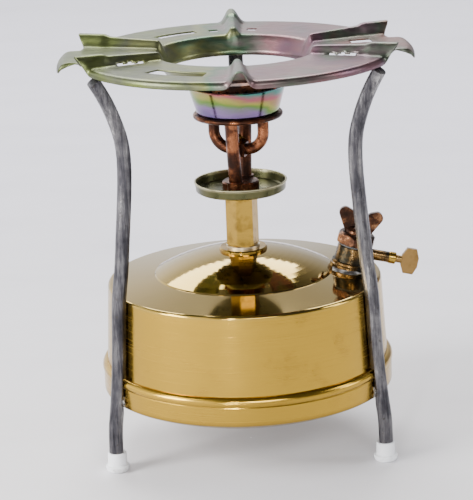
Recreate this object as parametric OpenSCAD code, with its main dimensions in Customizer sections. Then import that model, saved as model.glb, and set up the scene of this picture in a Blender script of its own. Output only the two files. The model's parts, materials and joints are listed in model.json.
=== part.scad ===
// Spirit stove: a round brass tank on three rod legs, a burner on a hexagonal column
// and a loose pressed ring that carries the pot.
// Millimetres, +Z up, origin on the ground below the middle of the tank, front towards -Y.

/* [Tank] */
// Radius of the tank at the top of its wall
tank_r = 82.5; // [81.5:0.1:83]
// How much wider the wall is at its foot
wall_flare = 2.5; // [2:0.1:2.8]
// Height of the top of the wall above the ground
shoulder_z = 104.6; // [100:0.2:106]
// Slope of the shoulder, in degrees
shoulder_slope = 8; // [6:0.5:9]
// Height of the bottom edge of the tank above the ground
band_z = 39; // [37:0.5:41]
// Height of the plain band round the foot of the tank
band_h = 11.3; // [10:0.1:12]
// Radius of the section of the half-round bead above the band
bead_r = 3.3; // [2.5:0.1:3.5]
// How far the dished bottom bulges below the band
dish_drop = 19; // [12:0.5:22]
// Radius of the dome at its foot
dome_r = 54; // [50:0.5:56]
// Rise of the dome above its foot
dome_rise = 13.2; // [11:0.1:15]
// Thickness of the spun brass sheet
sheet_t = 0.8; // [0.6:0.1:1]

/* [Column and spirit cup] */
// Width of the hexagonal column across its flats
hex_af = 17; // [16:0.5:18]
// Turn of the hexagon about its axis, in degrees
hex_turn = 10; // [0:1:30]
// Height of the top end of the hexagon
column_top_z = 158; // [154:0.5:160]
// Radius of the bore that holds the wick
column_bore_r = 5.5; // [4:0.1:5.8]
// Outer radius of the spirit cup
cup_r = 27.8; // [26:0.1:30]
// Depth of the spirit cup
cup_h = 6.5; // [5:0.1:8]

/* [Burner] */
// Turn of the four burner tubes about the axis, in degrees
tube_turn = -18; // [-25:1:25]
// Outer radius of the two riser tubes
riser_r = 3.9; // [3.5:0.1:4.1]
// Outer radius of the two return tubes
return_r = 3.4; // [3:0.1:3.6]
// Distance of each riser's foot from the axis
riser_foot = 9; // [8.5:0.1:10]
// Distance of each riser's top from the axis
riser_top = 14; // [13:0.1:15]
// Distance of each return tube's top from the axis
return_top = 15.3; // [14.5:0.1:16]
// Height of the underside of the burner head
head_z = 203; // [201:0.5:206]
// Radius of the burner head's flange
head_r = 26.7; // [26:0.1:28]
// Radius of the flame bowl at its foot
bowl_foot_r = 24.6; // [24:0.1:25]
// Radius of the flame bowl at its rim
bowl_rim_r = 28.7; // [27.5:0.1:29.5]
// Height of the flame bowl
bowl_h = 16.2; // [14:0.1:17]
// Outer radius of the outer burner cap
cap_r = 21.3; // [20.8:0.1:21.4]
// Height of the outer burner cap
cap_h = 20.5; // [18:0.5:21]

/* [Pot ring] */
// Height of the top of the ring's plate
plate_z = 243; // [242.8:0.1:244]
// Radius of the plate's rim
rim_r = 94; // [93.8:0.1:94.4]
// Depth of the turned-down skirt
skirt_h = 4.5; // [4:0.1:4.6]
// Radius of the central hole at the plate
hole_r = 48; // [46:0.5:50]
// Radius at the foot of the collar that lines the hole
collar_r = 41; // [40:0.5:43]
// Depth of the collar
collar_h = 11; // [8:0.5:12]
// Reach of the ribs from the axis
rib_reach = 99.5; // [98:0.1:100]
// Radius of a rib's half-round section at its outer end
rib_r = 7.3; // [6.5:0.1:7.5]
// Angle between a side arm's middle and each of its two ribs
arm_spread = 21.5; // [20:0.5:23]
// How far the loose ring has turned on its legs, in degrees
ring_turn = 1; // [-1:0.5:2]
// Reach of the curled tongues from the axis
tongue_reach = 105.2; // [104:0.1:106]
// Half the width of a tongue
tongue_half_w = 17; // [14:0.5:20]
// Thickness of the ring's sheet
ring_t = 1; // [0.8:0.1:1.2]

/* [Legs and feet] */
// Radius of the round side of a leg's section
leg_r = 4.6; // [4.4:0.1:4.6]
// Distance from the middle of that radius to the leg's flat side
leg_flat = 2.2; // [1.5:0.1:2.2]
// Distance of the feet from the tank's axis
foot_dist = 92.4; // [92:0.1:93]
// Height of a foot
foot_h = 12; // [10:0.5:12.5]
// Radius of a foot's brim
brim_r = 7.1; // [6.5:0.1:7.4]

/* [Filler and air screw] */
// Distance of the filler's base from the tank's axis
filler_x = 64; // [62:0.5:66]
// Outward lean of the filler, in degrees
filler_lean = 13; // [10:0.5:15]
// Distance from the filler's base to the top of its neck
neck_h = 14; // [13.5:0.1:15]
// Radius of the bore in the neck
neck_bore_r = 5.8; // [5:0.1:6.2]
// Pitch of the filler cap's thread
cap_pitch = 1.5; // [1:0.25:1.5]
// Turns that the filler cap makes before its last thread
cap_turns = 3; // [1:1:3]
// Half the span of the cap's two wings
wing_span = 13.3; // [12:0.1:14]
// Distance of the air screw's axis above the filler's base
air_h = 10.5; // [10:0.1:10.6]
// Distance from the filler's axis to the end of the air screw's head
air_reach = 39.5; // [38:0.1:40]
// Width of the air screw's flat head
air_head_w = 15.5; // [12:0.5:16]

/* [Hidden] */
$fn = 72;

// Clearance between pieces that move apart, and the gap left below a loose piece
clear = 0.3;
running = 0.06;
rest_gap = 0.3;
big = 400;

// Tank
corner_r = 2;
corner_z = shoulder_z - corner_r;
bead_z = band_z + band_h + bead_r;
bead_top_z = bead_z + bead_r;
wall_foot_r = tank_r + wall_flare;
wall_foot_z = band_z + 4;
band_r = wall_foot_r + 2.6;
shoulder_in = 90 - shoulder_slope;
shoulder_top_z = corner_z + corner_r * sin(shoulder_in);
shoulder_top_x = tank_r - corner_r + corner_r * cos(shoulder_in);
dome_foot_z = shoulder_top_z + (shoulder_top_x - dome_r) * tan(shoulder_slope);
dome_step = 0.7;
dome_in_r = dome_r - 0.6;
dome_sphere_r = (pow(dome_in_r, 2) + pow(dome_rise, 2)) / (2 * dome_rise);
dome_top_z = dome_foot_z + dome_step + dome_rise;
dome_centre_z = dome_top_z - dome_sphere_r;
dish_r = band_r - 1.4;
dish_z = band_z - dish_drop;
dish_sphere_r = (pow(dish_r, 2) + pow(dish_drop, 2)) / (2 * dish_drop);
dish_centre_z = dish_z + dish_sphere_r;

// Column
boss_r = 14.5;
boss_bore_r = 7.5;
boss_spigot_r = 9.5;
boss_top_z = dome_top_z + 1.1;
washer_t = 1.2;
column_z = boss_top_z + washer_t;
column_thread_r = 7.4;
column_neck_r = 6.5;
cup_t = 0.7;

// Burner
base_r = 11;
base_z = column_top_z + cup_t;
base_h = 5.4;
base_top_z = base_z + base_h;
socket_r = 5.3;
socket_depth = 3.5;
tube_wall = 1.2;
riser_z = base_top_z + 1 - socket_depth;
riser_rise = head_z - riser_z;
riser_lean = atan((riser_top - riser_foot) / riser_rise);
holder_half = 4.5;
return_bend_r = return_top - holder_half;
return_z = 183.2;
head_t = 3;
chamber_r = 19;
chamber_top_z = head_z + 6.5;
throat_r = 7.5;
bowl_z = head_z + head_t + rest_gap;
bowl_t = 0.6;
cap_z = head_z + head_t + rest_gap;
cap_t = 0.8;
inner_cap_r = 13;
inner_cap_h = 10.5;

// Pot ring
rib_waist = 82;
rib_waist_r = 5.6;
rib_tip_r = 3.9;
rib_tip = 41.5;
tongue_r = 6.2;
curl_x = tongue_reach - tongue_r;
curl_z = plate_z - tongue_r;
skirt_z = plate_z - skirt_h;
rib_angles = [90, -90, arm_spread, -arm_spread, 180 - arm_spread, 180 + arm_spread];
arm_angles = [0, 180];
// Slots through the plate: inner and outer radius, first and last angle
ring_slots = [
    [63, 70, 110, 134], [66, 78, -133, -105], [69, 82, 4, 12], [61, 68, 98, 103], [61, 68, 77, 82]
];

// Legs: distance from the axis and height of the middle of the section, foot to tip
leg_stations = [
    [foot_dist, 1.2], [foot_dist, 6], [foot_dist, 13], [92.2, 20], [91.8, 28], [90.4, 38],
    [89.2, 48], [88.1, 58], [87.1, 71], [86.2, 86], [85.2, 104], [82.5, 122], [80.6, 140],
    [78.7, 158], [77.2, 175], [76.8, 189], [77.8, 200], [80.2, 209], [83.2, 217.5],
    [86.5, 225], [90, 231.6], [93.4, 237.2]
];
leg_steps = 2;
leg_arc_points = 13;
leg_angles = [-150, -30, 90];
notch_gap = 0.9;
notch_drop = 3;

// Filler, measured along its own axis from its base
filler_z = dome_foot_z - (filler_x - dome_r) * tan(shoulder_slope);
flange_r = 12.6;
flange_top = 4.6;
neck_foot_r = 10.8;
neck_top_r = 10.1;
spigot_r = 9;
spigot_depth = 7;
seal_t = 1.2;
cap_hex_r = 12.4;
cap_hex_h = 7;
seal_gap = 0.1;
thread_r = 7.5;
thread_l = cap_turns * cap_pitch + 1;
wing_t = 3;
air_tube_r = 3.3;
air_tube_end = 21.6;
air_bore_r = 1.7;
gland_end = 25.8;
air_neck_end = 29.6;

function polar(r, a) = [r * cos(a), r * sin(a)];
function arc(x, y, r, a0, a1, n) = [for (i = [0 : n]) [x, y] + polar(r, a0 + (a1 - a0) * i / n)];
function reversed(v) = [for (i = [len(v) - 1 : -1 : 0]) v[i]];

// Outer curve of the tank shell, inset by t, from the foot of the wall to the column's hole
function dome_curve(t) = [
    for (i = [0 : 12])
        let (x = dome_in_r + (boss_spigot_r - dome_in_r) * i / 12)
        [x, dome_centre_z + sqrt(pow(dome_sphere_r - t, 2) - x * x)]
];
function tank_curve(t) = concat(
    [[wall_foot_r - t, wall_foot_z], [wall_foot_r - t, bead_top_z]],
    arc(tank_r - corner_r, corner_z, corner_r - t, 0, shoulder_in, 6),
    [[dome_r, dome_foot_z - t]],
    dome_curve(t)
);

// Underside of the dished bottom, inset by t, from the axis outwards
function dish_curve(t) = [
    for (i = [0 : 12])
        let (x = dish_r * i / 12)
        [x, dish_centre_z - sqrt(pow(dish_sphere_r - t, 2) - x * x)]
];

module turned(points) {
    rotate_extrude($fn = 96)
        polygon(points);
}

module tank_solid() {
    turned(concat([[0, wall_foot_z]], tank_curve(0), [[0, dome_top_z]]));
}

// Places children on the filler's axis, with its base at the origin
module at_filler() {
    translate([filler_x, 0, filler_z])
        rotate([0, filler_lean, 0])
            children();
}

// Places children on the air screw's axis, which leaves the filler's axis outwards
module at_air_screw() {
    at_filler()
        translate([0, 0, air_h])
            rotate([0, 90, 0])
                children();
}

module tank_shell() {
    color("gold")
        difference() {
            turned(concat(tank_curve(0), reversed(tank_curve(sheet_t))));
            at_filler()
                translate([0, 0, -12])
                    cylinder(h = 24, r = spigot_r);
        }
}

// Dished bottom with the sleeve that grips the foot of the wall, band and bead in one piece
module tank_base() {
    color("goldenrod")
        turned(concat(
            dish_curve(0),
            [[band_r, band_z + 1], [band_r, bead_z - 2.9]],
            arc(wall_foot_r - 0.1, bead_z, bead_r, -40, 88, 9),
            [[wall_foot_r, bead_top_z], [wall_foot_r, bead_z - 1.6]],
            [[band_r - sheet_t, bead_z - 3.1], [band_r - sheet_t, band_z + 1.6]],
            reversed(dish_curve(sheet_t))
        ));
}

// Low flange soldered to the top of the dome, with the thread that takes the column
module column_boss() {
    color("goldenrod")
        difference() {
            union() {
                cylinder(h = boss_top_z, r = boss_spigot_r);
                turned([[0, 0], [boss_r, 0], [boss_r, boss_top_z - 0.6],
                        [boss_r - 0.8, boss_top_z], [0, boss_top_z]]);
            }
            difference() {
                tank_solid();
                translate([0, 0, dome_top_z - 9])
                    cylinder(h = 20, r = boss_spigot_r);
            }
            translate([0, 0, -1])
                cylinder(h = dome_top_z - 8, r = boss_r + 1);
            translate([0, 0, 100])
                cylinder(h = 40, r = boss_bore_r);
        }
}

module column_washer() {
    color("gray")
        translate([0, 0, boss_top_z])
            difference() {
                cylinder(h = washer_t, r = 10);
                translate([0, 0, -1])
                    cylinder(h = washer_t + 2, r = boss_bore_r);
            }
}

// Hexagonal bar, chamfered at both ends, with a thread below and a spigot above
module burner_column() {
    hex_h = column_top_z - column_z;
    corner = hex_af / 2 / cos(30);
    color("darkgoldenrod")
        difference() {
            union() {
                translate([0, 0, column_z])
                    intersection() {
                        rotate(hex_turn)
                            cylinder(h = hex_h, r = corner, $fn = 6);
                        turned([[0, 0], [corner - 1.2, 0], [corner + 0.1, 0.9],
                                [corner + 0.1, hex_h - 0.6], [corner - 0.8, hex_h], [0, hex_h]]);
                    }
                translate([0, 0, column_z - 9])
                    cylinder(h = 10, r = column_thread_r);
                translate([0, 0, column_top_z - 1])
                    cylinder(h = riser_z - 0.3 - column_top_z + 1, r = column_neck_r);
            }
            translate([0, 0, column_z - 10])
                cylinder(h = hex_h + 20, r = column_bore_r);
        }
}

// Cotton wick, from the bottom of the tank to the top of the column
module wick() {
    color("wheat")
        translate([0, 0, dish_z + 4])
            cylinder(h = column_top_z - dish_z - 6, r = column_bore_r - 0.2);
}

// Pressed dish with a rolled rim, clamped between the column and the burner
module spirit_cup() {
    foot = cup_r - 1.6;
    color("darkkhaki")
        translate([0, 0, column_top_z])
            turned([
                [column_neck_r, 0], [foot - 0.8, 0], [foot + 0.6, 0.9], [cup_r - 0.5, cup_h - 1.4],
                [cup_r, cup_h - 0.9], [cup_r, cup_h - 0.3], [cup_r - 0.4, cup_h],
                [cup_r - 1, cup_h - 0.2], [foot - 0.1, 1.2], [foot - 1, cup_t], [column_neck_r, cup_t]
            ]);
}

// Block that screws onto the column and feeds both risers
module burner_base() {
    gallery_h = socket_depth - 0.6;
    riser_spare = riser_r * tan(riser_lean) + 0.05;
    color("saddlebrown")
        translate([0, 0, base_z])
            difference() {
                union() {
                    turned([[0, 0], [base_r - 0.5, 0], [base_r, 0.5], [base_r, base_h - 0.8],
                            [base_r - 0.8, base_h], [0, base_h]]);
                    for (side = [-1, 1])
                        rotate(tube_turn + side * 90)
                            translate([riser_foot, 0, 0])
                                cylinder(h = base_h + 1, r = socket_r);
                }
                translate([0, 0, -1])
                    cylinder(h = riser_z - 0.1 - base_z + 1, r = column_neck_r);
                for (side = [-1, 1])
                    rotate(tube_turn + side * 90)
                        translate([riser_foot, 0, riser_z - base_z])
                            rotate([0, riser_lean, 0])
                                translate([0, 0, -riser_spare])
                                    cylinder(h = 9, r = riser_r);
                rotate(tube_turn)
                    translate([0, riser_foot + 2, riser_z - base_z - 0.6])
                        rotate([90, 0, 0])
                            cylinder(h = 2 * riser_foot + 4, r = gallery_h / 2);
            }
}

// Straight length of tube of outer radius r, standing on the origin
module straight_tube(h, r) {
    linear_extrude(h)
        tube_section(r);
}

module tube_section(r) {
    difference() {
        circle(r = r);
        circle(r = r - tube_wall);
    }
}

// A bend towards +X of such a tube, starting at the origin and heading up
module tube_bend(bend_r, angle, r) {
    translate([bend_r, 0, 0])
        rotate([90, 0, 0])
            rotate(180 - angle)
                rotate_extrude(angle = angle, $fn = 96)
                    translate([bend_r, 0])
                        tube_section(r);
}

// Riser: a straight tube that leans outwards from the base to the burner head
module riser_tube(side) {
    color("sienna")
        rotate(tube_turn + side * 90)
            intersection() {
                translate([riser_foot, 0, riser_z])
                    rotate([0, riser_lean, 0])
                        translate([0, 0, -riser_r])
                            straight_tube(riser_rise / cos(riser_lean) + 2 * riser_r, riser_r);
                translate([0, -riser_r - 1, riser_z])
                    cube([2 * riser_top, 2 * riser_r + 2, riser_rise]);
            }
}

// Return tube: down from the burner head and round to the side of the jet holder
module return_tube(side) {
    straight = head_z - return_z - return_bend_r;
    color("sienna")
        rotate(tube_turn + (side > 0 ? 0 : 180))
            translate([return_top, 0, head_z])
                mirror([0, 0, 1])
                    mirror([1, 0, 0]) {
                        straight_tube(straight, return_r);
                        translate([0, 0, straight])
                            tube_bend(return_bend_r, 90, return_r);
                    }
}

// Square block between the return tubes, with the thread for the jet on top
module jet_holder() {
    low = return_z - holder_half + 0.5;
    high = return_z + holder_half - 0.5;
    color("saddlebrown")
        difference() {
            rotate(tube_turn)
                translate([-holder_half, -holder_half, low])
                    cube([2 * holder_half, 2 * holder_half, high - low]);
            rotate(tube_turn)
                translate([-holder_half - 1, 0, return_z])
                    rotate([0, 90, 0])
                        cylinder(h = 2 * holder_half + 2, r = return_r - tube_wall);
            translate([0, 0, return_z])
                cylinder(h = 10, r = 2);
        }
}

module jet() {
    top = return_z + holder_half - 0.5;
    color("goldenrod")
        difference() {
            union() {
                translate([0, 0, top])
                    rotate(tube_turn)
                        cylinder(h = 3, r = 4, $fn = 6);
                translate([0, 0, top])
                    turned([[0, 0], [2.4, 0], [2.4, 3.4], [0.9, 5], [0, 5]]);
                translate([0, 0, top - 1.2])
                    cylinder(h = 2, r = 2);
            }
            translate([0, 0, top - 2])
                cylinder(h = 5, r = 1.1);
            translate([0, 0, top])
                cylinder(h = 8, r = 0.3);
        }
}

// Cast head: a round-edged flange, the vapour chamber on it and the throat through both
module burner_head() {
    edge = head_t / 2;
    color("saddlebrown")
        turned(concat(
            [[throat_r, head_z]],
            arc(head_r - edge, head_z + edge, edge, -90, 90, 10),
            [[chamber_r, head_z + head_t], [chamber_r, chamber_top_z - 0.8],
             [chamber_r - 0.8, chamber_top_z], [throat_r, chamber_top_z]]
        ));
}

// Round cap with rows of holes in its wall and rings of holes in its top
module pierced_cap(r, h, t, hole, rows, count, crown) {
    difference() {
        turned([[0, h - t + crown], [0, h + crown], [r * 0.6, h + crown * 0.7], [r - 0.8, h],
                [r, h - 0.8], [r, 0], [r - t, 0], [r - t, h - t - 0.4], [r * 0.6, h - t + crown * 0.6]]);
        for (row = [0 : rows - 1])
            for (i = [0 : count - 1])
                rotate(360 / count * (i + row / 2))
                    translate([r - 3, 0, h * (0.38 + 0.2 * row)])
                        rotate([0, 90, 0])
                            cylinder(h = 6, r = hole, $fn = 16);
    }
}

module inner_cap() {
    color("saddlebrown")
        translate([0, 0, chamber_top_z])
            pierced_cap(inner_cap_r, inner_cap_h, cap_t, 0.9, 2, 16, 0.6);
}

module outer_cap() {
    color("saddlebrown")
        translate([0, 0, cap_z])
            pierced_cap(cap_r, cap_h - 1.5, cap_t, 1, 3, 24, 1.5);
}

// Flared bowl that shields the flame, standing on the burner head's flange
module flame_bowl() {
    inner = bowl_foot_r - 1.6;
    color("yellowgreen")
        translate([0, 0, bowl_z])
            turned([
                [inner, 0], [bowl_foot_r - 0.6, 0], [bowl_foot_r, 0.7], [bowl_rim_r, bowl_h - 0.9],
                [bowl_rim_r + 0.35, bowl_h - 0.4], [bowl_rim_r, bowl_h], [bowl_rim_r - bowl_t, bowl_h - 0.5],
                [bowl_foot_r - bowl_t, 1], [bowl_foot_r - 1.2, bowl_t], [inner, bowl_t]
            ]);
}

// Round bar along a rib, inset by t, from a distance from the axis outwards:
// a slim cone as far as the waist and a thicker bar beyond it
module rib_bar(t, from, spare) {
    slim = rib_tip_r + (rib_waist_r - rib_tip_r) * (from - rib_tip) / (rib_waist - 3 - rib_tip);
    translate([0, 0, plate_z])
        rotate([0, 90, 0])
            turned([
                [0, from], [slim - t, from], [rib_waist_r - t, rib_waist - 3], [rib_r - t, rib_waist + 1],
                [rib_r - t, rib_reach + spare], [0, rib_reach + spare]
            ]);
}

// Plate with its skirt and collar, before the ribs and slots
module ring_plate() {
    turned([
        [rim_r, skirt_z], [rim_r, plate_z - 1.2], [rim_r - 1.2, plate_z], [hole_r + 0.6, plate_z],
        [hole_r - 0.6, plate_z - 0.8], [collar_r, plate_z - collar_h],
        [collar_r + ring_t, plate_z - collar_h], [hole_r + 0.3, plate_z - ring_t - 0.7],
        [hole_r + 1.2, plate_z - ring_t], [rim_r - 1.6, plate_z - ring_t],
        [rim_r - ring_t, plate_z - 1.6], [rim_r - ring_t, skirt_z]
    ]);
}

// Sector of the plane between two angles, reaching past the object
module sector(a0, a1) {
    polygon([[0, 0], polar(big, a0), polar(big, (a0 + a1) / 2), polar(big, a1)]);
}

// Slot between two radii and two angles, through the plate
module ring_slot(r0, r1, a0, a1) {
    translate([0, 0, plate_z - 3])
        linear_extrude(6)
            intersection() {
                difference() {
                    circle(r = r1);
                    circle(r = r0);
                }
                sector(a0, a1);
            }
}

// Slit along one flank of the rib at the given angle, where the pressing tore free
module rib_slit(angle, side) {
    rotate(angle)
        translate([58, side * rib_waist_r - 1.2, plate_z - 3])
            cube([18, 2.4, 6]);
}

// Tongue that curls down from the end of a side arm, rounded towards its tip
module tongue() {
    intersection() {
        translate([curl_x, tongue_half_w, curl_z])
            rotate([90, 0, 0])
                rotate(-78)
                    rotate_extrude(angle = 168)
                        translate([tongue_r - ring_t, 0])
                            square([ring_t, 2 * tongue_half_w]);
        translate([curl_x - 1, 0, curl_z + tongue_half_w - 7])
            rotate([0, 90, 0])
                cylinder(h = tongue_r + 2, r = tongue_half_w + 0.5);
    }
}

// Flat web between the two ribs of a side arm, out to the root of the tongue
module arm_web() {
    half = tan(arm_spread) * (rim_r - 6) - rib_r;
    root = tongue_half_w - 0.1;
    translate([0, 0, plate_z - ring_t])
        linear_extrude(ring_t)
            polygon([[rim_r - 8, -half], [rim_r - 2, -half], [curl_x, -root],
                     [curl_x, root], [rim_r - 2, half], [rim_r - 8, half]]);
}

// The half-round ribs, standing on the level of the plate's underside
module ring_ribs() {
    intersection() {
        union() {
            for (a = rib_angles)
                rotate(a)
                    rib_bar(0, rib_tip, 0);
        }
        translate([0, 0, plate_z - ring_t])
            cylinder(h = 20, r = big);
    }
}

// Everything that is cut out of the ring: the hollows under the ribs, the gaps that they
// leave in the skirt, the slots and the slits
module ring_cuts() {
    gap = rib_r - ring_t;
    for (a = rib_angles)
        rotate(a) {
            rib_bar(ring_t, hole_r + 0.5, 1);
            translate([rim_r - 4, -gap, skirt_z - 1])
                cube([10, 2 * gap, skirt_h + 1]);
        }
    for (s = ring_slots)
        ring_slot(s[0], s[1], s[2], s[3]);
    rib_slit(-arm_spread, -1);
    rib_slit(180 + arm_spread, 1);
}

module pot_ring() {
    color("olivedrab")
        rotate(ring_turn)
            difference() {
                union() {
                    difference() {
                        ring_plate();
                        for (a = arm_angles)
                            rotate(a)
                                translate([rim_r - 8, 0, skirt_z - 1])
                                    linear_extrude(skirt_h - ring_t + 1)
                                        polygon([[0, -34], [20, -42], [20, 42], [0, 34]]);
                    }
                    for (a = arm_angles)
                        rotate(a) {
                            arm_web();
                            tongue();
                        }
                    ring_ribs();
                }
                ring_cuts();
            }
}

// Section of a leg: round outwards (+X), flat inwards
function leg_section() = concat(
    [[-leg_flat, -leg_r + 0.5]],
    arc(0, 0, leg_r, -90 - 12, 90 + 12, leg_arc_points),
    [[-leg_flat, leg_r - 0.5]]
);

// Point on the smooth curve through p1 and p2, with p0 and p3 as their neighbours
function smooth(p0, p1, p2, p3, u) =
    0.5 * (2 * p1 + (p2 - p0) * u + (2 * p0 - 5 * p1 + 4 * p2 - p3) * u * u
           + (3 * p1 - p0 - 3 * p2 + p3) * u * u * u);
function leg_path() = concat([
    for (i = [0 : len(leg_stations) - 2])
        for (s = [0 : leg_steps - 1])
            let (last = len(leg_stations) - 1)
            smooth(leg_stations[max(i - 1, 0)], leg_stations[i], leg_stations[i + 1],
                   leg_stations[min(i + 2, last)], s / leg_steps)
], [leg_stations[len(leg_stations) - 1]]);

// Section k of the leg, square to its path
function leg_ring(path, k) =
    let (ahead = path[min(k + 1, len(path) - 1)] - path[max(k - 1, 0)])
    let (way = k == 0 ? [0, 1] : ahead / norm(ahead))
    [for (p = leg_section()) [path[k][0] + p[0] * way[1], p[1], path[k][1] - p[0] * way[0]]];

// Bent bar, swept along the leg's path as one closed skin
module leg(angle) {
    path = leg_path();
    n = len(leg_section());
    m = len(path);
    skin = [for (k = [0 : m - 1]) each leg_ring(path, k)];
    sides = [for (k = [0 : m - 2]) for (i = [0 : n - 1])
        each [[k * n + i, (k + 1) * n + (i + 1) % n, k * n + (i + 1) % n],
              [k * n + i, (k + 1) * n + i, (k + 1) * n + (i + 1) % n]]];
    low_end = [[for (i = [0 : n - 1]) i]];
    high_end = [[for (i = [n - 1 : -1 : 0]) (m - 1) * n + i]];
    color("dimgray")
        rotate(angle)
            difference() {
                polyhedron(skin, concat(sides, low_end, high_end));
                translate([0, 0, band_z - notch_drop])
                    cylinder(h = bead_top_z - band_z + notch_drop + 1, r = band_r + notch_gap, $fn = 360);
            }
}

// Solder between each leg's flat side and the band of the tank
module leg_solder() {
    color("silver")
        for (a = leg_angles)
            rotate(a)
                difference() {
                    translate([band_r - 3, -leg_r, band_z + 1.5])
                        cube([3 + notch_gap - 0.1, 2 * leg_r, band_h - 5]);
                    cylinder(h = big, r = band_r, $fn = 360);
                }
}

// Moulded boot: a socket for the leg above a brim that curves in to the ground
module foot(angle) {
    body_r = 5.7;
    color("whitesmoke")
        rotate(angle)
            translate([foot_dist, 0, 0])
                difference() {
                    turned(concat(
                        [[0, 0]],
                        arc(brim_r - 2.6, 2.4, 2.4, -90, -15, 6),
                        [[brim_r, 3.2], [brim_r, 3.7], [brim_r - 0.3, 4.1], [body_r + 0.3, 4.2],
                         [body_r, 4.7], [body_r - 0.15, foot_h - 0.4], [body_r - 0.5, foot_h], [0, foot_h]]
                    ));
                    translate([0, 0, leg_stations[0][1]])
                        linear_extrude(foot_h)
                            polygon(leg_section());
                }
}

// Thick ring soldered to the shoulder below the filler's neck
module filler_flange() {
    color("darkolivegreen")
        difference() {
            at_filler()
                turned([[0, -8], [flange_r, -8], [flange_r, 2.2], [flange_r - 0.7, 2.8],
                        [flange_r - 0.7, flange_top - 0.6], [flange_r - 1.2, flange_top], [0, flange_top]]);
            tank_solid();
            at_filler()
                translate([0, 0, -9])
                    cylinder(h = 20, r = spigot_r);
        }
}

// Tapered neck with the thread for the cap on its narrower top
module filler_neck() {
    thread_top = neck_h + seal_t + thread_l;
    color("olive")
        difference() {
            at_filler()
                turned([[0, -spigot_depth], [spigot_r, -spigot_depth], [spigot_r, flange_top],
                        [neck_foot_r, flange_top], [neck_top_r, neck_h - 0.4], [neck_top_r - 0.4, neck_h],
                        [thread_r, neck_h], [thread_r, thread_top], [0, thread_top]]);
            at_filler()
                translate([0, 0, -spigot_depth - 1])
                    cylinder(h = thread_top + spigot_depth + 2, r = neck_bore_r);
            at_air_screw()
                cylinder(h = 20, r = air_bore_r);
        }
}

// Flat washer round the thread, between the neck's shoulder and the cap
module filler_seal() {
    color("dimgray")
        at_filler()
            translate([0, 0, neck_h + seal_gap])
                difference() {
                    cylinder(h = seal_t - 2 * seal_gap, r = neck_top_r - 0.3);
                    translate([0, 0, -1])
                        cylinder(h = seal_t + 2, r = thread_r + clear);
                }
}

// One wing of the cap, a flat paddle that stands outwards and up
module wing(side) {
    rotate([90, 0, 0])
        translate([0, 0, -wing_t / 2])
            linear_extrude(wing_t)
                hull() {
                    translate([side * 4.6, 0.6])
                        circle(r = 3, $fn = 32);
                    translate([side * (wing_span - 3.6), 11])
                        circle(r = 3.6, $fn = 32);
                    translate([side * (wing_span - 6.2), 10.2])
                        circle(r = 3.4, $fn = 32);
                }
}

// Screw cap: hexagonal collar with the thread inside, round hub and two wings
module filler_cap() {
    low = neck_h + seal_t;
    hub = low + cap_hex_h;
    color("saddlebrown")
        at_filler()
            difference() {
                union() {
                    translate([0, 0, low])
                        intersection() {
                            rotate(20)
                                cylinder(h = cap_hex_h, r = cap_hex_r, $fn = 6);
                            turned([[0, 0], [cap_hex_r - 1.4, 0], [cap_hex_r + 0.1, 1.2],
                                    [cap_hex_r + 0.1, 4.6], [cap_hex_r - 2.6, cap_hex_h], [0, cap_hex_h]]);
                        }
                    translate([0, 0, hub - 1])
                        turned([[0, 0], [7.6, 0], [7.4, 2.4], [6, 4.2], [3.4, 5.2], [0, 5.4]]);
                    translate([0, 0, hub])
                        for (side = [-1, 1])
                            wing(side);
                }
                translate([0, 0, low - 1])
                    cylinder(h = thread_l + clear + 1, r = thread_r + running);
            }
}

// Tube brazed into the side of the neck, with the air screw's thread inside
module air_screw_seat() {
    color("darkolivegreen")
        difference() {
            at_air_screw()
                translate([0, 0, neck_top_r - 3])
                    cylinder(h = air_tube_end - neck_top_r + 3, r = air_tube_r);
            at_filler()
                translate([0, 0, flange_top])
                    cylinder(h = neck_h - flange_top, r1 = neck_foot_r, r2 = neck_top_r);
            at_air_screw()
                cylinder(h = 40, r = air_bore_r);
        }
}

module air_screw_gland() {
    color("gold")
        at_air_screw()
            translate([0, 0, air_tube_end])
                difference() {
                    turned([[0, 0], [3.4, 0], [3.6, 0.4], [3.6, 3.8], [3.2, gland_end - air_tube_end],
                            [0, gland_end - air_tube_end]]);
                    translate([0, 0, -1])
                        cylinder(h = 10, r = air_bore_r);
                }
}

// Needle with a flat six-sided head for the fingers
module air_screw() {
    head_l = air_reach - air_neck_end;
    shank_r = air_bore_r - running;
    tip = 8;
    color("gold")
        at_air_screw() {
            translate([0, 0, tip])
                turned([[0, 0], [shank_r, 2.4], [shank_r, gland_end + clear - tip],
                        [2.3, gland_end + clear - tip], [2.3, air_neck_end - tip], [0, air_neck_end - tip]]);
            translate([0, 1.5, air_neck_end])
                rotate([90, 0, 0])
                    linear_extrude(3)
                        polygon([[-2.9, -0.4], [2.9, -0.4], [air_head_w / 2, head_l * 0.2],
                                 [air_head_w / 2, head_l * 0.8], [2.9, head_l], [-2.9, head_l],
                                 [-air_head_w / 2, head_l * 0.8], [-air_head_w / 2, head_l * 0.2]]);
        }
}

tank_shell();
tank_base();
column_boss();
column_washer();
burner_column();
wick();
spirit_cup();
burner_base();
riser_tube(-1);  // riser_tube_front
riser_tube(1);  // riser_tube_back
return_tube(-1);  // return_tube_left
return_tube(1);  // return_tube_right
jet_holder();
jet();
burner_head();
inner_cap();
outer_cap();
flame_bowl();
pot_ring();
leg(leg_angles[0]);  // leg_left
leg(leg_angles[1]);  // leg_right
leg(leg_angles[2]);  // leg_back
leg_solder();
foot(leg_angles[0]);  // foot_left
foot(leg_angles[1]);  // foot_right
foot(leg_angles[2]);  // foot_back
filler_flange();
filler_neck();
filler_seal();
filler_cap();
air_screw_seat();
air_screw_gland();
air_screw();
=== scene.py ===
"""Looks of a spirit stove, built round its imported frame. Metres, +Z up, front towards -Y."""

import json
import math
import random

import bmesh
import bpy
from mathutils import Matrix, Quaternion, Vector


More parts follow.
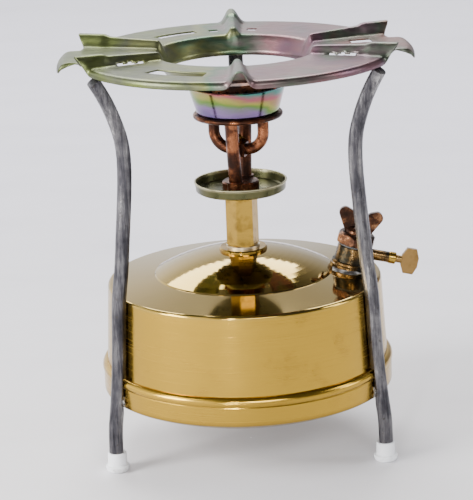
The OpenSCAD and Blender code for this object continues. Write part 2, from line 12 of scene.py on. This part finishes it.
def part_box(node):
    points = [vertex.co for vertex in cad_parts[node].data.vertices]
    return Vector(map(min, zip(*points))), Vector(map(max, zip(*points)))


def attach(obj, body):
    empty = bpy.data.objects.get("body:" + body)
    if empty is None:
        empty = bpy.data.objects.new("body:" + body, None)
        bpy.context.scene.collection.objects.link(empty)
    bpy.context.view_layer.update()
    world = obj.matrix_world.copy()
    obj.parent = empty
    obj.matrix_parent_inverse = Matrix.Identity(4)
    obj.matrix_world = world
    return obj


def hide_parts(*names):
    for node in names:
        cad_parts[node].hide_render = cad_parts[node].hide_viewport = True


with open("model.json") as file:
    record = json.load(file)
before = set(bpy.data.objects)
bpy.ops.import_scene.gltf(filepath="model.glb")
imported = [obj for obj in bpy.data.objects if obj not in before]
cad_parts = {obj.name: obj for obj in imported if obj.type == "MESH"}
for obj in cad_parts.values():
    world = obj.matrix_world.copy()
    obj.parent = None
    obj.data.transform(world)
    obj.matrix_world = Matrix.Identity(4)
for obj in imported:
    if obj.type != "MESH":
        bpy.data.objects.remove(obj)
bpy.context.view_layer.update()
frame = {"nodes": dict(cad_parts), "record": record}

MM = 0.001


# ---------------------------------------------------------------- camera and lights

def aim(thing, eye, target, roll=0.0):
    """Stands a camera or light at eye, looking at target, rolled about its line of sight."""
    look = (target - eye).to_track_quat("-Z", "Y")
    thing.rotation_mode = "QUATERNION"
    thing.location = eye
    thing.rotation_quaternion = look @ Quaternion((0, 0, 1), roll)


def make_camera():
    lens = bpy.data.cameras.new("camera")
    lens.lens = 161.75
    lens.sensor_width = 36
    lens.clip_end = 50
    camera = bpy.data.objects.new("camera", lens)
    bpy.context.collection.objects.link(camera)
    aim(camera, Vector((0, -1.3, 0.49409)), Vector((-0.00412, 0, 0.12064)), math.radians(-2.37))
    bpy.context.scene.camera = camera


def area_light(name, eye, target, width, height, power, colour=(1, 1, 1)):
    data = bpy.data.lights.new(name, "AREA")
    data.shape = "RECTANGLE"
    data.size = width
    data.size_y = height
    data.energy = power
    data.color = colour
    lamp = bpy.data.objects.new(name, data)
    bpy.context.collection.objects.link(lamp)
    aim(lamp, Vector(eye), Vector(target))


def make_lights():
    middle = (0, 0, 0.12)
    area_light("back_softbox", (-0.2, 1.5, 1.9), middle, 2.0, 1.2, 74)
    area_light("left_softbox", (-1.7, -0.9, 0.9), middle, 0.8, 1.3, 72, (1.0, 0.99, 0.98))
    area_light("right_softbox", (1.9, -0.2, 0.9), middle, 0.5, 1.2, 14, (0.96, 0.96, 1.0))
    area_light("front_strip", (-0.42, -1.9, 0.5), middle, 0.06, 0.9, 16)
    area_light("front_fill", (0.5, -2.4, 1.5), middle, 1.2, 0.5, 26)


# ---------------------------------------------------------------- node finishes

class Wire:
    """One output of a node in a finish. Arithmetic on it adds Math nodes."""

    def __init__(self, finish, socket):
        self.finish = finish
        self.socket = socket

    def math(self, operation, a, b=0.0):
        return self.finish.node("ShaderNodeMath", {"operation": operation}, {0: a, 1: b})

    def __add__(self, other):
        return self.math("ADD", self, other)

    def __radd__(self, other):
        return self.math("ADD", other, self)

    def __sub__(self, other):
        return self.math("SUBTRACT", self, other)

    def __rsub__(self, other):
        return self.math("SUBTRACT", other, self)

    def __mul__(self, other):
        return self.math("MULTIPLY", self, other)

    def __rmul__(self, other):
        return self.math("MULTIPLY", other, self)

    def absolute(self):
        return self.math("ABSOLUTE", self)


class Finish:
    """A material, or the world, under construction: nodes round one shader."""

    def __init__(self, name, world=None, shader="Principled BSDF", space="Object"):
        self.owner = world or bpy.data.materials.new(name)
        self.owner.use_nodes = True
        self.tree = self.owner.node_tree
        self.shader = self.tree.nodes[shader]
        self.space = space

    def node(self, kind, settings=None, inputs=None, out=0):
        made = self.tree.nodes.new(kind)
        for key, value in (settings or {}).items():
            if key == "stops":
                self.set_stops(made.color_ramp, value)
            else:
                setattr(made, key, value)
        for key, value in (inputs or {}).items():
            self.join(value, made.inputs[key])
        return Wire(self, made.outputs[out])

    def set_stops(self, ramp, stops):
        while len(ramp.elements) < len(stops):
            ramp.elements.new(1.0)
        for element, (place, colour) in zip(ramp.elements, stops):
            element.position = place
            element.color = (*colour, 1)

    def join(self, value, socket):
        if isinstance(value, Wire):
            self.tree.links.new(value.socket, socket)
        else:
            socket.default_value = value

    def place(self):
        return self.node("ShaderNodeTexCoord", out=self.space)

    def axis(self, letter):
        return self.node("ShaderNodeSeparateXYZ", inputs={0: self.place()}, out=letter)

    def noise(self, scale, detail=3.0, stretch=(1, 1, 1), rough=0.55):
        where = self.node("ShaderNodeVectorMath", {"operation": "MULTIPLY"}, {0: self.place(), 1: stretch})
        return self.node("ShaderNodeTexNoise", inputs={
            "Vector": where, "Scale": scale, "Detail": detail, "Roughness": rough})

    def between(self, value, low, high, start=0.0, end=1.0):
        return self.node("ShaderNodeMapRange", {"interpolation_type": "SMOOTHSTEP"},
                         {"Value": value, "From Min": low, "From Max": high, "To Min": start, "To Max": end})

    def ramp(self, value, stops):
        return self.node("ShaderNodeValToRGB", {"stops": stops}, {0: value})

    def mix(self, mask, a, b):
        colour = [c if isinstance(c, Wire) else (*c, 1) for c in (a, b)]
        return self.node("ShaderNodeMix", {"data_type": "RGBA"}, {0: mask, 6: colour[0], 7: colour[1]}, out=2)

    def bump(self, height, depth, strength=1.0):
        return self.node("ShaderNodeBump", inputs={"Height": height, "Distance": depth, "Strength": strength})

    def done(self, **sockets):
        for key, value in sockets.items():
            self.join(value, self.shader.inputs[key.replace("_", " ").title()])
        return self.owner


def spun_brass(name, pale, rich, polish_z, dish_z):
    """Spun sheet: tool rings on the wall, smoother above polish_z, and darkened below dish_z with painted
    shade where the base mirrors the floor's shadow.
    """
    f = Finish(name)
    polished = f.between(f.axis("Z"), polish_z - 2 * MM, polish_z + 2 * MM)
    rings = f.noise(420, 4, (0.02, 0.02, 4.0), 0.7)
    drift = f.noise(14, 3, (1, 1, 0.5))
    tarnish = f.between(f.noise(55, 5), 0.52, 0.80)
    colour = f.mix(polished, f.mix(drift, rich, [c * 0.82 for c in rich]), pale)
    colour = f.mix(tarnish * 0.30, colour, (0.24, 0.13, 0.025))
    # Painted shade: below dish_z the colour darkens, as the base mirrors the floor's shadow.
    colour = f.mix(f.between(f.axis("Z"), dish_z, dish_z - 5 * MM) * 0.8, colour, (0.085, 0.052, 0.018))
    wall = f.between(rings, 0.3, 0.75, 0.13, 0.30)
    rough = wall * (1 - polished) + polished * 0.075 + tarnish * 0.10
    height = rings * (1 - polished) + f.noise(9, 2) * 0.6
    return f.done(base_color=colour, metallic=1.0, roughness=rough, normal=f.bump(height, 0.12 * MM, 0.4))


def turned_brass(name, base, dark, rough=0.14):
    """Turned or milled fitting with fine tool lines and a little tarnish in patches."""
    f = Finish(name)
    lines = f.noise(600, 3, (0.3, 0.3, 5.0), 0.7)
    stain = f.between(f.noise(160, 5), 0.45, 0.72)
    return f.done(base_color=f.mix(stain * 0.6, base, dark), metallic=1.0,
                  roughness=f.between(lines, 0.3, 0.75, rough, rough + 0.13) + stain * 0.12,
                  normal=f.bump(lines, 0.05 * MM, 0.3))


def blotched_metal(name, stops, scale, rough):
    """Heat-stained or oxidised metal: coloured blotches, rougher where they are dark."""
    f = Finish(name)
    patch = f.between(f.noise(scale, 6, rough=0.62), 0.3, 0.7)
    grit = f.noise(scale * 7, 4)
    return f.done(base_color=f.ramp(patch, stops), metallic=0.88,
                  roughness=f.between(patch, 0, 1, rough + 0.16, rough) + (grit - 0.5) * 0.16,
                  normal=f.bump(grit * 0.5 + patch, 0.25 * MM, 0.5))


def zinc_plate(name, bands, spread, rise, level, rough=0.24):
    """Yellow-passivated zinc: interference colours drifting across the pressing and up it."""
    f = Finish(name)
    drift = f.noise(22, 3, (1.0, 0.8, 2.4)) * 0.85 + f.noise(80, 2, (0.5, 1.2, 1.6)) * 0.2
    phase = f.axis("X") * spread + (f.axis("Z") - level) * rise + drift - 0.02
    grain = f.noise(900, 2, (0.12, 1, 1))
    dull = f.between(f.noise(60, 5), 0.5, 0.75)
    return f.done(base_color=f.mix(dull * 0.25, f.ramp(phase, bands), (0.20, 0.19, 0.17)), metallic=0.92,
                  roughness=f.between(grain, 0.3, 0.7, rough - 0.03, rough + 0.07) + dull * 0.08,
                  normal=f.bump(grain * 0.15 + f.noise(45, 3), 0.10 * MM, 0.3))


def passivated_cup(name, low, high):
    """Plated dish: dark green and stained in the well, darkened there with painted shade, brighter and
    yellower at the rim.
    """
    f = Finish(name)
    stain = f.noise(130, 5)
    lip = f.between(f.axis("Z"), high - 2.4 * MM, high - 0.4 * MM)
    # Painted shade: the well colours are kept very dark for the shade inside the cup; the stain noise varies
    # them.
    well = f.mix(stain, (0.022, 0.034, 0.014), (0.13, 0.115, 0.050))
    rim = f.mix(stain, (0.20, 0.185, 0.085), (0.60, 0.56, 0.36))
    return f.done(base_color=f.mix(lip, well, rim), metallic=0.92, roughness=0.20 + stain * 0.18,
                  normal=f.bump(stain + f.between(f.axis("Z"), low, high), 0.12 * MM, 0.4))


def bar_steel(name):
    """Hot-rolled bar: long dark and bright streaks along the leg with pits."""
    f = Finish(name)
    streak = f.noise(230, 5, (1, 1, 0.07), 0.75)
    pit = f.between(f.noise(420, 4), 0.60, 0.72)
    mottle = f.noise(48, 5)
    colour = f.ramp(streak * 0.62 + mottle * 0.38, [
        (0.36, (0.012, 0.012, 0.015)), (0.47, (0.055, 0.053, 0.060)), (0.57, (0.150, 0.146, 0.150)),
        (0.68, (0.52, 0.51, 0.50))])
    colour = f.mix(pit * 0.7, colour, (0.05, 0.045, 0.04))
    return f.done(base_color=colour, metallic=0.92,
                  roughness=f.between(streak, 0.3, 0.7, 0.42, 0.20) + pit * 0.2,
                  normal=f.bump(streak * 0.6 - pit * 0.5, 0.20 * MM, 0.5))


def moulded_white(name):
    """White boot, scuffed near the ground."""
    f = Finish(name)
    scuff = f.between(f.noise(210, 5), 0.5, 0.75) * f.between(f.axis("Z"), 7 * MM, 0.5 * MM)
    return f.done(base_color=f.mix(scuff * 0.75, (0.82, 0.83, 0.85), (0.30, 0.28, 0.25)),
                  roughness=0.42 + scuff * 0.25, normal=f.bump(f.noise(380, 3), 0.12 * MM, 0.4))


def soft_solder(name):
    f = Finish(name)
    lump = f.noise(260, 4)
    return f.done(base_color=f.mix(f.between(lump, 0.35, 0.68), (0.09, 0.085, 0.08), (0.46, 0.45, 0.43)),
                  metallic=0.8, roughness=0.38 + lump * 0.25, normal=f.bump(lump, 0.3 * MM, 0.6))


def fibre(name, light, dark, scale):
    """Woven wick or pressed seal."""
    f = Finish(name)
    weave = f.noise(scale, 3, (1, 1, 3))
    return f.done(base_color=f.mix(weave, dark, light), roughness=0.78 + weave * 0.15,
                  normal=f.bump(weave, 0.2 * MM, 0.6))


def floor_cloth(name):
    """Pale paper floor with painted shade: a little darker and cooler towards the back, for the dimmer
    backdrop, and darker in its creases.
    """
    f = Finish(name)
    # Painted shade: the floor turns darker and cooler towards the back, for the dimmer backdrop.
    back = f.between(f.axis("Y") + (f.noise(1.6, 3) - 0.5) * 0.3, -0.25, 0.9)
    crease = f.noise(7, 4, (1, 2.2, 1))
    colour = f.mix(back, (0.80, 0.785, 0.80), (0.73, 0.72, 0.80))
    # Painted shade: the creases are darkened in colour as well as bumped.
    return f.done(base_color=f.mix(f.between(crease, 0.4, 0.75) * 0.12, colour, (0.50, 0.49, 0.52)),
                  roughness=0.85, normal=f.bump(crease, 2.5 * MM, 0.22))


def make_world():
    """Pale room: bright to the left and behind the stove, dim to the right, overhead and in front."""
    world = bpy.data.worlds.new("room")
    bpy.context.scene.world = world
    f = Finish("room", world, "Background", "Generated")
    x, y, z = f.axis("X"), f.axis("Y"), f.axis("Z")
    side = f.between(x, -0.9, 0.7, 1.0, 0.12)
    front = f.between(y, -0.95, 0.1, 0.42, 1.0)
    ceiling = f.between(z, 0.30, 0.85, 1.0, 0.16)
    window = (f.between((x + 0.55).absolute(), 0.16, 0.10) * f.between(y, -0.2, -0.5)
              * f.between(z, 0.05, 0.12))
    light = side * front * ceiling + window * 0.5
    f.shader.inputs["Strength"].default_value = 2.7
    f.done(color=f.mix(light, (0.015, 0.015, 0.018), (0.98, 0.98, 1.0)))


# ---------------------------------------------------------------- mesh building

def new_piece(name, mesh, material, body):
    piece = bpy.data.objects.new(name, mesh)
    bpy.context.collection.objects.link(piece)
    mesh.materials.append(material)
    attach(piece, body)
    return piece


def grid_mesh(name, rows, closed, keep=None):
    """Skin over rows of points; closed joins each row's ends; keep(i, j) says which faces stay."""
    mesh = bpy.data.meshes.new(name)
    width = len(rows[0])
    spans = width if closed else width - 1
    points = [tuple(p) for row in rows for p in row]
    faces = []
    for i in range(len(rows) - 1):
        for j in range(spans):
            if keep is None or keep(i, j):
                here, after = i * width, (i + 1) * width
                nxt = (j + 1) % width
                faces.append((here + j, here + nxt, after + nxt, after + j))
    mesh.from_pydata(points, [], faces)
    mesh.polygons.foreach_set("use_smooth", [True] * len(mesh.polygons))
    mesh.update()
    return mesh


def smoothstep(low, high, value):
    t = min(max((value - low) / (high - low), 0.0), 1.0)
    return t * t * (3 - 2 * t)


def tidy(mesh):
    """Merges touching points, drops loose ones and turns the faces outwards."""
    work = bmesh.new()
    work.from_mesh(mesh)
    bmesh.ops.remove_doubles(work, verts=work.verts, dist=0.01 * MM)
    loose = [v for v in work.verts if not v.link_faces]
    bmesh.ops.delete(work, geom=loose, context="VERTS")
    bmesh.ops.recalc_face_normals(work, faces=work.faces)
    work.to_mesh(mesh)
    work.free()
    mesh.update()


# ---------------------------------------------------------------- pot ring

PLATE_Z = 243.0
COLLAR_R, COLLAR_H = 41.0, 11.0
RIM_R, SKIRT_H, ROLL_R = 94.0, 4.5, 3.0
RIB_REACH, ARM_SPREAD = 99.5, 21.5
CURL_X, TONGUE_R, TONGUE_HALF = 99.0, 6.2, 17.0
RING_TURN = math.radians(1)
RIBS = [math.radians(a) for a in (90, -90, ARM_SPREAD, -ARM_SPREAD, 180 - ARM_SPREAD, 180 + ARM_SPREAD)]
RING_SLOTS = [(63, 70, 110, 134), (66, 78, -133, -105), (69, 82, 4, 12), (61, 68, 98, 103), (61, 68, 77, 82)]
RING_STEPS = 720
PLATE_ROWS = [50, 52, 54, 56, 58, 59.5, 61, 63, 65, 66.5, 68, 69, 70, 72, 74, 76, 77.5, 79, 80.5, 82, 83,
              84.5, 86, 87.5, 89, 90.3]


def rib_size(u):
    """Height of a rib's crest above the plate at distance u from the axis."""
    if u < 79:
        return 3.9 + (5.6 - 3.9) * (u - 41.5) / 37.5
    return 5.6 + (7.05 - 5.6) * smoothstep(79, 84, u)


def rib_lift(r, angle):
    """How far the ribs raise the sheet at a point, and the share of a full crest there."""
    lift = share = 0.0
    for a in RIBS:
        u, v = r * math.cos(angle - a), r * math.sin(angle - a)
        if u <= 0:
            continue
        size = rib_size(u)
        bell = math.exp(-(abs(v) / (0.75 * size)) ** 2.8)
        if bell > 0.002:
            lift = max(lift, size * bell * smoothstep(40, 47, u))
            share = max(share, bell)
    return lift, share


def ring_profile():
    """Collar foot to rim: radius, height against the plate, and how much the ribs act there."""
    collar = [(COLLAR_R, -COLLAR_H, 0.0), (42.6, -8.5, 0.05), (44.2, -6.0, 0.2), (45.8, -3.4, 0.5),
              (47.2, -1.2, 0.8), (48.3, -0.2, 0.95)]
    plate = [(r, 0.0, 1.0) for r in PLATE_ROWS]
    return collar + plate


def edge_path(tongue, k):
    """Point k of 0 to 1 along the turned-down edge: its radius and height."""
    roll = RIM_R - ROLL_R
    if tongue:
        run = k * 19.1
        flat = CURL_X - roll
        if run < flat:
            return roll + run, 0.0
        turn = min((run - flat) / TONGUE_R, math.radians(102))
        return CURL_X + TONGUE_R * math.sin(turn), -TONGUE_R * (1 - math.cos(turn))
    turn = min(k / 0.75, 1.0) * math.pi / 2
    drop = max(k - 0.75, 0.0) / 0.25 * (SKIRT_H - ROLL_R)
    return roll + ROLL_R * math.sin(turn), -ROLL_R * (1 - math.cos(turn)) - drop


def ring_rows():
    rows = []
    for r, height, act in ring_profile():
        row = []
        for j in range(RING_STEPS):
            angle = math.radians(j * 360 / RING_STEPS)
            lift, _ = rib_lift(r, angle)
            wave = 0.12 * math.sin(angle * 3 + 0.7) + 0.07 * math.sin(angle * 7 + r * 0.05)
            row.append((r, angle, height + lift * act + wave * act * 0.5))
        rows.append(row)
    for i in range(1, 13):
        k = i / 12
        row = []
        for j in range(RING_STEPS):
            angle = math.radians(j * 360 / RING_STEPS)
            lift, share = rib_lift(RIM_R, angle)
            side = abs(math.sin(angle)) * RIM_R
            arm = smoothstep(TONGUE_HALF + 2.5, TONGUE_HALF - 0.5, side)
            r_skirt, z_skirt = edge_path(False, k)
            r_skirt += (RIB_REACH - RIM_R) * share * k
            near_arm = smoothstep(40, 30, side)
            z_skirt *= (1 - share) * (1 - 0.85 * near_arm)
            rounding = math.sqrt(max(1 - (side / TONGUE_HALF) ** 4 * 0.30, 0.4))
            r_tongue, z_tongue = edge_path(True, k * rounding)
            r = r_skirt * (1 - arm) + r_tongue * arm
            z = z_skirt * (1 - arm) + z_tongue * arm
            row.append((r, angle, z + lift * (1 - arm)))
        rows.append(row)
    return rows


def in_slot(r, degrees):
    for r0, r1, a0, a1 in RING_SLOTS:
        if r0 < r < r1 and (degrees - a0) % 360 < a1 - a0:
            return True
    for rib, side in ((-ARM_SPREAD, -1), (180 + ARM_SPREAD, 1)):
        off = math.radians(degrees - rib)
        u, v = r * math.cos(off), r * math.sin(off) * side
        if 58 < u < 76 and 4.6 + 0.6 * math.sin(u) < v < 6.9:
            return True
    return False


def make_pot_ring(material):
    rows = ring_rows()

    def keep(i, j):
        r = (rows[i][j][0] + rows[i + 1][j][0]) / 2
        return not in_slot(r, (j + 0.5) * 360 / RING_STEPS)

    points = [[(r * math.cos(a + RING_TURN) * MM, r * math.sin(a + RING_TURN) * MM, (PLATE_Z + z) * MM)
               for r, a, z in row] for row in rows]
    mesh = grid_mesh("ring_pressing", points, True, keep)
    tidy(mesh)
    piece = new_piece("ring_pressing", mesh, material, "pot_ring")
    up = sum(p.normal.z for p in mesh.polygons)
    shell = piece.modifiers.new("sheet", "SOLIDIFY")
    shell.thickness = 1.0 * MM
    shell.offset = -1 if up > 0 else 1
    shell.use_even_offset = False
    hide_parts("pot_ring")


# ---------------------------------------------------------------- solder and small fittings

def make_leg_solder(material):
    """Lumpy fillet down both sides of each leg where it meets the tank's band."""
    rng = random.Random(11)
    (_, _, z0), (_, _, z1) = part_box("leg_solder")
    for name, degrees in (("left", -150), ("right", -30), ("back", 90)):
        turn = Matrix.Rotation(math.radians(degrees), 3, "Z")
        rows = []
        for i in range(15):
            t = i / 14
            z = z0 + (z1 - z0) * t
            swell = math.sin(math.pi * min(max(t, 0.04), 0.96)) ** 0.5
            row = []
            for j in range(18):
                a = 2 * math.pi * j / 18
                jitter = 1 + 0.16 * (rng.random() - 0.5)
                across = 6.1 * math.cos(a) * swell * jitter
                out = 88.6 + 1.5 * math.sin(a) * swell * jitter
                row.append(turn @ Vector((out * MM, across * MM, z)))
            rows.append(row)
        mesh = grid_mesh("solder_" + name, rows, True)
        tidy(mesh)
        piece = new_piece("solder_" + name, mesh, material, "stove")
        piece.modifiers.new("smooth", "SUBSURF").levels = 1


def filler_frame():
    """Matrix from the filler's own axis to the row frame, from the record's joint."""
    joint = next(j for j in frame["record"]["behaviour"]["joints"] if j["name"] == "filler_turn")
    axis = Vector(joint["axis"])
    across = Vector((axis.z, 0, -axis.x))
    base = Vector(joint["pos_m"]) - axis * 20 * MM
    turn = Matrix((across, (0, 1, 0), axis)).transposed().to_4x4()
    return Matrix.Translation(base) @ turn


def make_filler_solder(material):
    """Ragged solder spread round the filler's flange on the shoulder."""
    rng = random.Random(5)
    at = filler_frame()
    tilt = math.radians(5)
    rows = []
    for i in range(7):
        t = i / 6
        row = []
        for j in range(72):
            a = 2 * math.pi * j / 72
            ragged = 1.7 + 1.1 * math.sin(3 * a + 1) + 0.8 * math.sin(7 * a) + 0.5 * rng.random()
            r = 12.3 + max(ragged, 0.5) * t
            ground = r * math.cos(a) * math.tan(tilt)
            z = ground + 1.5 * (1 - t) ** 1.6 - 0.25 * t + 0.18 * rng.random() * (1 - t)
            row.append(at @ Vector((r * math.cos(a) * MM, r * math.sin(a) * MM, z * MM)))
        rows.append(row)
    mesh = grid_mesh("filler_fillet", rows, True)
    tidy(mesh)
    piece = new_piece("filler_fillet", mesh, material, "stove")
    piece.modifiers.new("smooth", "SUBSURF").levels = 1


# ---------------------------------------------------------------- assembly

def make_floor():
    rows = []
    for r in (0.0005, 0.2, 0.5, 1.0, 2.0, 4.0, 9.0):
        rows.append([(r * math.cos(math.radians(a)), r * math.sin(math.radians(a)), 0.0)
                     for a in range(0, 360, 5)])
    mesh = grid_mesh("floor", rows, True)
    mesh.materials.append(floor_cloth("floor_cloth"))
    floor = bpy.data.objects.new("floor", mesh)
    bpy.context.collection.objects.link(floor)


COPPER_STOPS = [(0.0, (0.020, 0.009, 0.006)), (0.35, (0.040, 0.014, 0.007)), (0.62, (0.085, 0.028, 0.012)),
                (0.86, (0.25, 0.090, 0.038))]
BRONZE_STOPS = [(0.0, (0.008, 0.009, 0.008)), (0.32, (0.020, 0.016, 0.008)), (0.58, (0.062, 0.036, 0.012)),
                (0.85, (0.20, 0.115, 0.038))]
CAP_STOPS = [(0.0, (0.016, 0.008, 0.005)), (0.45, (0.046, 0.019, 0.010)), (0.75, (0.105, 0.045, 0.021)),
             (1.0, (0.26, 0.125, 0.058))]
RING_BANDS = [(0.00, (0.17, 0.20, 0.08)), (0.14, (0.30, 0.36, 0.11)), (0.26, (0.25, 0.27, 0.17)),
              (0.36, (0.40, 0.42, 0.16)), (0.46, (0.17, 0.30, 0.18)), (0.56, (0.34, 0.30, 0.27)),
              (0.66, (0.44, 0.22, 0.24)), (0.76, (0.34, 0.19, 0.25)), (0.86, (0.22, 0.27, 0.20)),
              (1.00, (0.46, 0.22, 0.19))]
BOWL_BANDS = [(0.00, (0.30, 0.26, 0.42)), (0.20, (0.44, 0.36, 0.52)), (0.38, (0.34, 0.46, 0.20)),
              (0.50, (0.56, 0.54, 0.26)), (0.64, (0.58, 0.30, 0.34)), (0.80, (0.20, 0.44, 0.40)),
              (1.00, (0.40, 0.24, 0.44))]

PIERCED_SHADE = 0.6
RING_SHADE = 0.37
BOWL_SHADE = 0.95
BOWL_MIDDLE_Z = 0.216


def shaded(stops, shade):
    return [(place, [c * shade for c in colour]) for place, colour in stops]


def deepened(stops, shade):
    """Stops with their colours squared, so that they are darker and more saturated."""
    return [(place, [c * c * shade for c in colour]) for place, colour in stops]


cup_low, cup_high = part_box("spirit_cup")

make_camera()
make_world()
make_lights()
make_floor()

FINISHES = {
    "tank": spun_brass("brass_tank", (0.345, 0.240, 0.060), (0.47, 0.290, 0.036), 103 * MM, 43 * MM),
    "fitting": turned_brass("brass_fittings", (0.37, 0.23, 0.04), (0.12, 0.065, 0.012), 0.09),
    "washer": turned_brass("pale_washer", (0.66, 0.60, 0.47), (0.30, 0.26, 0.19), 0.30),
    "screw": turned_brass("brass_air_screw", (0.24, 0.145, 0.05), (0.10, 0.055, 0.018), 0.30),
    "bronze": blotched_metal("bronze", BRONZE_STOPS, 120, 0.22),
    "cap": blotched_metal("bronze_cap", CAP_STOPS, 150, 0.24),
    "burner": blotched_metal("burner_metal", COPPER_STOPS, 95, 0.27),
    "pierced": blotched_metal("burner_cap_metal", shaded(COPPER_STOPS, PIERCED_SHADE), 110, 0.38),
    "ring": zinc_plate("chromated_ring", shaded(RING_BANDS, RING_SHADE), 4.2, 0.0, 0.0, 0.31),
    "bowl": zinc_plate("chromated_bowl", deepened(BOWL_BANDS, BOWL_SHADE), 7.0, 34.0, BOWL_MIDDLE_Z, 0.14),
    "cup": passivated_cup("cup_metal", cup_low[2], cup_high[2]),
    "steel": bar_steel("bare_steel"),
    "solder": soft_solder("solder"),
    "boot": moulded_white("white_boots"),
    "gasket": fibre("gasket", (0.12, 0.12, 0.12), (0.04, 0.04, 0.04), 900),
    "cotton": fibre("cotton", (0.80, 0.75, 0.62), (0.48, 0.42, 0.32), 700),
}

NODE_FINISH = {
    "tank": ["tank_shell", "tank_base"],
    "fitting": ["column_boss", "burner_column", "jet", "air_screw_gland"],
    "screw": ["air_screw"],
    "bronze": ["filler_flange", "filler_neck", "air_screw_seat"],
    "cap": ["filler_cap"],
    "burner": ["burner_base", "riser_tube_front", "riser_tube_back", "return_tube_left",
               "return_tube_right", "jet_holder", "burner_head"],
    "pierced": ["inner_cap", "outer_cap"],
    "ring": ["pot_ring"],
    "bowl": ["flame_bowl"],
    "cup": ["spirit_cup"],
    "steel": ["leg_left", "leg_right", "leg_back"],
    "solder": ["leg_solder"],
    "boot": ["foot_left", "foot_right", "foot_back"],
    "washer": ["column_washer"],
    "gasket": ["filler_seal"],
    "cotton": ["wick"],
}
for finish, nodes in NODE_FINISH.items():
    for node in nodes:
        mesh = frame["nodes"][node].data
        mesh.materials.clear()
        mesh.materials.append(FINISHES[finish])

make_pot_ring(FINISHES["ring"])
make_leg_solder(FINISHES["solder"])
make_filler_solder(FINISHES["solder"])
